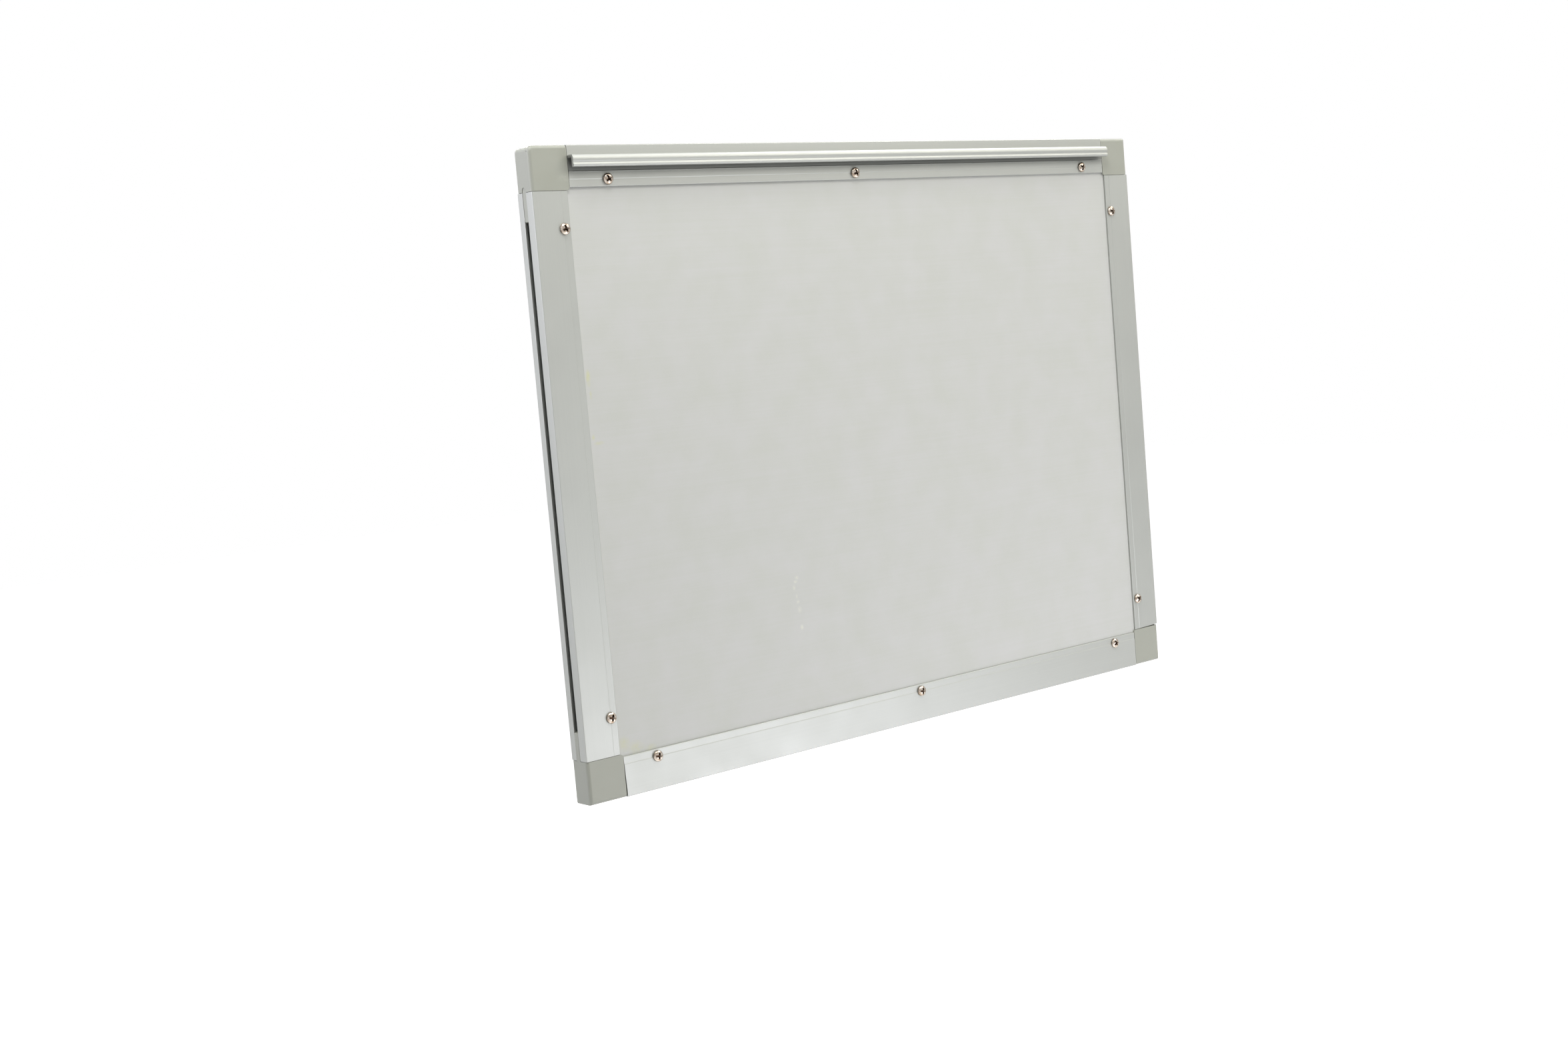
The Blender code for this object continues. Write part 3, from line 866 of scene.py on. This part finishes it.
def painted_backing():
    material, tree, shader, place = start_material("painted_backing_sheet", Roughness=0.6)
    stretch = (every(90), every(1.2), every(1.2))
    drawn = add_node(tree, "ShaderNodeMapping", {"Vector": place, "Scale": stretch})
    lines = add_node(tree, "ShaderNodeTexNoise", {"Vector": drawn, "Scale": 1, "Detail": 3})
    mottle = add_node(tree, "ShaderNodeTexNoise", {"Vector": place, "Scale": every(26), "Detail": 5})
    tone = add_node(tree, "ShaderNodeMath", {0: lines, 1: 0.35}, operation="MULTIPLY")
    tone = add_node(tree, "ShaderNodeMath", {0: mottle, 1: 0.65, 2: tone}, operation="MULTIPLY_ADD")
    tone = add_node(tree, "ShaderNodeMapRange", {0: tone, 1: 0.35, 2: 0.65, 3: 0, 4: 1})
    tint = add_node(
        tree, "ShaderNodeMix", {0: tone, 6: colour("#BFC1BB"), 7: colour("#C3C4C1")}, data_type="RGBA"
    ).outputs[2]
    for marks, grain, code in ((glue_smears, 3, "#C5C691"), (chalk_dots, 1, "#D8D9CB")):
        amount = oval_marks(tree, place, marks, grain)
        tint = add_node(
            tree, "ShaderNodeMix", {0: amount, 6: tint, 7: colour(code)}, data_type="RGBA"
        ).outputs[2]
    tree.links.new(tint, shader.inputs["Base Color"])
    bump = add_node(tree, "ShaderNodeBump", {"Height": tone, "Distance": 0.02 * MM, "Strength": 1})
    tree.links.new(bump.outputs[0], shader.inputs["Normal"])
    return material


backing_paint = painted_backing()
print(backing_paint.name, "has", len(backing_paint.node_tree.nodes), "nodes")

# %% [markdown]
# ### The writing surface, the core and the screws
#
# The writing side is steel with a hard glossy white lacquer, a little wavy like all sprayed lacquer,
# with the dull traces that wiping leaves. The core is raw fibreboard: brown, with fibres a few tenths
# of a millimetre wide. The screws are plated with bright nickel, which is a little warmer than
# chrome. Brown patches a millimetre or two wide are painted on it as dark reflections, and the cross
# recesses are painted darker as shade.

# %% White lacquer
def white_lacquer():
    material, tree, shader, place = start_material("white_lacquered_steel", Roughness=0.1, IOR=1.5)
    drawn = add_node(tree, "ShaderNodeMapping", {"Vector": place, "Scale": (every(110), 1, every(9))})
    wiped = add_node(tree, "ShaderNodeTexNoise", {"Vector": drawn, "Scale": 1, "Detail": 4})
    traces = add_node(tree, "ShaderNodeMapRange", {0: wiped, 1: 0.45, 2: 0.8, 3: 0, 4: 1})
    tint = add_node(
        tree, "ShaderNodeMix", {0: traces, 6: colour("#EEF0F0"), 7: colour("#E6E9EA")}, data_type="RGBA"
    )
    tree.links.new(tint.outputs[2], shader.inputs["Base Color"])
    gloss = add_node(tree, "ShaderNodeMapRange", {0: wiped, 1: 0.4, 2: 0.75, 3: 0.07, 4: 0.17})
    tree.links.new(gloss.outputs[0], shader.inputs["Roughness"])
    waves = add_node(tree, "ShaderNodeTexNoise", {"Vector": place, "Scale": every(4), "Detail": 1})
    bump = add_node(tree, "ShaderNodeBump", {"Height": waves, "Distance": 0.004 * MM, "Strength": 1})
    tree.links.new(bump.outputs[0], shader.inputs["Normal"])
    return material


lacquer = white_lacquer()
print(lacquer.name, "has", len(lacquer.node_tree.nodes), "nodes")

# %% Raw fibreboard
def raw_fibreboard():
    material, tree, shader, place = start_material("raw_fibreboard", Roughness=0.9)
    fibres = add_node(tree, "ShaderNodeTexNoise", {"Vector": place, "Scale": every(0.6), "Detail": 4})
    tint = add_node(
        tree, "ShaderNodeMix", {0: fibres, 6: colour("#6E5238"), 7: colour("#B8966C")}, data_type="RGBA"
    )
    tree.links.new(tint.outputs[2], shader.inputs["Base Color"])
    bump = add_node(tree, "ShaderNodeBump", {"Height": fibres, "Distance": 0.1 * MM, "Strength": 1})
    tree.links.new(bump.outputs[0], shader.inputs["Normal"])
    return material


fibreboard = raw_fibreboard()
print(fibreboard.name, "has", len(fibreboard.node_tree.nodes), "nodes")

# %% Nickel plate
def nickel_plate():
    material, tree, shader, place = start_material("bright_nickel_plate", Metallic=1.0, Roughness=0.18)
    painted_recess_shade = add_node(tree, "ShaderNodeAttribute", {}, attribute_name="painted_recess_shade").outputs["Fac"]
    patches = add_node(tree, "ShaderNodeTexNoise", {"Vector": place, "Scale": every(2.2), "Detail": 2})
    # Painted reflection: brown noise patches stand for dark surroundings mirrored in the nickel
    painted_reflections = add_node(tree, "ShaderNodeMapRange", {0: patches, 1: 0.42, 2: 0.62, 3: 0, 4: 0.75})
    tint = add_node(
        tree, "ShaderNodeMix", {0: painted_reflections, 6: colour("#C2B8AD"), 7: colour("#84705C")}, data_type="RGBA"
    ).outputs[2]
    # Painted shade: the cross recess is mixed towards dark brown
    tint = add_node(
        tree, "ShaderNodeMix", {0: painted_recess_shade, 6: tint, 7: colour("#3A2D23")}, data_type="RGBA"
    ).outputs[2]
    tree.links.new(tint, shader.inputs["Base Color"])
    haze = add_node(tree, "ShaderNodeTexNoise", {"Vector": place, "Scale": every(0.8), "Detail": 3})
    gloss = add_node(tree, "ShaderNodeMapRange", {0: haze, 1: 0.3, 2: 0.7, 3: 0.14, 4: 0.26})
    tree.links.new(gloss.outputs[0], shader.inputs["Roughness"])
    return material


nickel = nickel_plate()
print(nickel.name, "has", len(nickel.node_tree.nodes), "nodes")

# %% [markdown]
# ## Dressing the frame
#
# Each new piece gets its finish, rides on the model's one body and stands for its CAD node. The core
# board keeps its CAD node and only gets the fibreboard.

# %% Dressing
def dress(piece, material, node):
    piece.data.materials.clear()
    piece.data.materials.append(material)
    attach(piece, "root")
    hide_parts(node)


for side, rail in rails.items():
    metal = level_aluminium if side in ("top", "bottom") else upright_aluminium
    dress(rail, metal, f"{side}_rail")
for corner, piece in caps.items():
    dress(piece, grey_abs, f"corner_cap_{corner}")
for node, piece in screws.items():
    dress(piece, nickel, node)
dress(backing, backing_paint, "back_sheet")
dress(writing, lacquer, "writing_sheet")
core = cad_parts["core_board"]
core.data.materials.clear()
core.data.materials.append(fibreboard)
print("dressed:", len(rails) + len(caps) + len(screws) + 2, "pieces")

# %% [markdown]
# ## Floor, background and light
#
# The board hangs, so the pale floor lies well below it. The white background is only what the camera
# and clear reflections see: one switch made of Light Path's outputs serves the floor and the world.
# To all other rays the world is dim, and round soft lamps light the object at a plain level.

# %% Which rays see white
def clear_rays(tree):
    """1 for a ray from the camera or from a clear reflection or refraction, and 0 for the others."""
    rays = add_node(tree, "ShaderNodeLightPath", {}).outputs
    either = {0: rays["Is Camera Ray"], 1: rays["Is Glossy Ray"]}
    seen = add_node(tree, "ShaderNodeMath", either, operation="MAXIMUM")
    either = {0: seen, 1: rays["Is Transmission Ray"]}
    return add_node(tree, "ShaderNodeMath", either, operation="MAXIMUM")


# %% Floor
FLOOR = -0.9
FLOOR_LIFT = 0.85
clear_selection()
bpy.ops.mesh.primitive_plane_add(size=14, location=(0, 0, FLOOR))
floor = name_piece("floor")
paper = bpy.data.materials.new("pale_floor")
paper.use_nodes = True
tree = paper.node_tree
surface = tree.nodes["Principled BSDF"]
surface.inputs["Base Color"].default_value = colour("#DCDCDC")
surface.inputs["Roughness"].default_value = 0.9
strength = add_node(tree, "ShaderNodeMath", {0: clear_rays(tree), 1: FLOOR_LIFT}, operation="MULTIPLY")
lift = add_node(tree, "ShaderNodeEmission", {"Strength": strength})
both = add_node(tree, "ShaderNodeAddShader", {0: surface, 1: lift})
tree.links.new(both.outputs[0], tree.nodes["Material Output"].inputs["Surface"])
floor.data.materials.append(paper)
print("floor at", FLOOR, "m, white seen on it:", FLOOR_LIFT)

# %% World
# The world's strength for the rays that light the object
AMBIENT = 0.2
world = bpy.data.worlds.new("studio")
bpy.context.scene.world = world
world.use_nodes = True
tree = world.node_tree
tree.nodes.clear()
strength = add_node(tree, "ShaderNodeMapRange", {0: clear_rays(tree), 1: 0, 2: 1, 3: AMBIENT, 4: 1})
sky = add_node(tree, "ShaderNodeBackground", {"Color": (1, 1, 1, 1), "Strength": strength})
add_node(tree, "ShaderNodeOutputWorld", {"Surface": sky})
print("the world lights the object at", AMBIENT)

# %% [markdown]
# Five lamps behind the board give its back an even tone, and two at its right light the outer side of
# the right rail. The glint lamp stands at the far left and draws the bright lines along the hook and
# the flanges. The front lamp lights the writing side only.

# %% Lamps
AIM = Vector((0, 0, -0.2))


def add_lamp(name, round_degrees, up_degrees, distance, size, power, tint):
    """A round soft lamp that looks at the board. It goes round from the back towards the left side."""
    clear_selection()
    turn, rise = math.radians(round_degrees), math.radians(up_degrees)
    away = Vector((-math.sin(turn) * math.cos(rise), math.cos(turn) * math.cos(rise), math.sin(rise)))
    bpy.ops.object.light_add(type="AREA", location=AIM + away * distance)
    lamp = bpy.context.object
    lamp.name = lamp.data.name = name
    lamp.rotation_euler = away.to_track_quat("Z", "Y").to_euler()
    lamp.data.shape = "DISK"
    lamp.data.size = size
    lamp.data.energy = power
    lamp.data.color = colour(tint)[:3]


# Degrees round and up, then distance and size in metres, watts and tint
lamps = {
    "key_lamp": (45, 30, 2, 1, 10.4, "#FFFAF0"),
    "upper_lamp": (16, 53, 2, 1, 8.7, "#FFFEFB"),
    "high_lamp": (-45, 60, 1.2, 0.6, 9.7, "#FFFFFD"),
    "side_lamp": (-100, 30, 1, 0.5, 2.9, "#F2F1FF"),
    "edge_lamp": (-115, 10, 2, 1, 11.6, "#F2F2FF"),
    "low_lamp": (30, -30, 1, 0.5, 2.2, "#F3F2FF"),
    "floor_lamp": (10, -45, 1, 0.5, 1.9, "#FCFCFF"),
    "glint_lamp": (84, 48, 1.8, 0.7, 11, "#FFFFFF"),
    "front_lamp": (165, 30, 2.2, 1, 3.7, "#FFFFFF"),
}
for name, settings in lamps.items():
    add_lamp(name, *settings)
print("lamps:", len(lamps))

# A narrow beam keeps the front lamp's light off the floor, from where it would reach the board's back
bpy.data.lights["front_lamp"].spread = math.radians(60)
bpy.context.scene.view_settings.view_transform = "Standard"
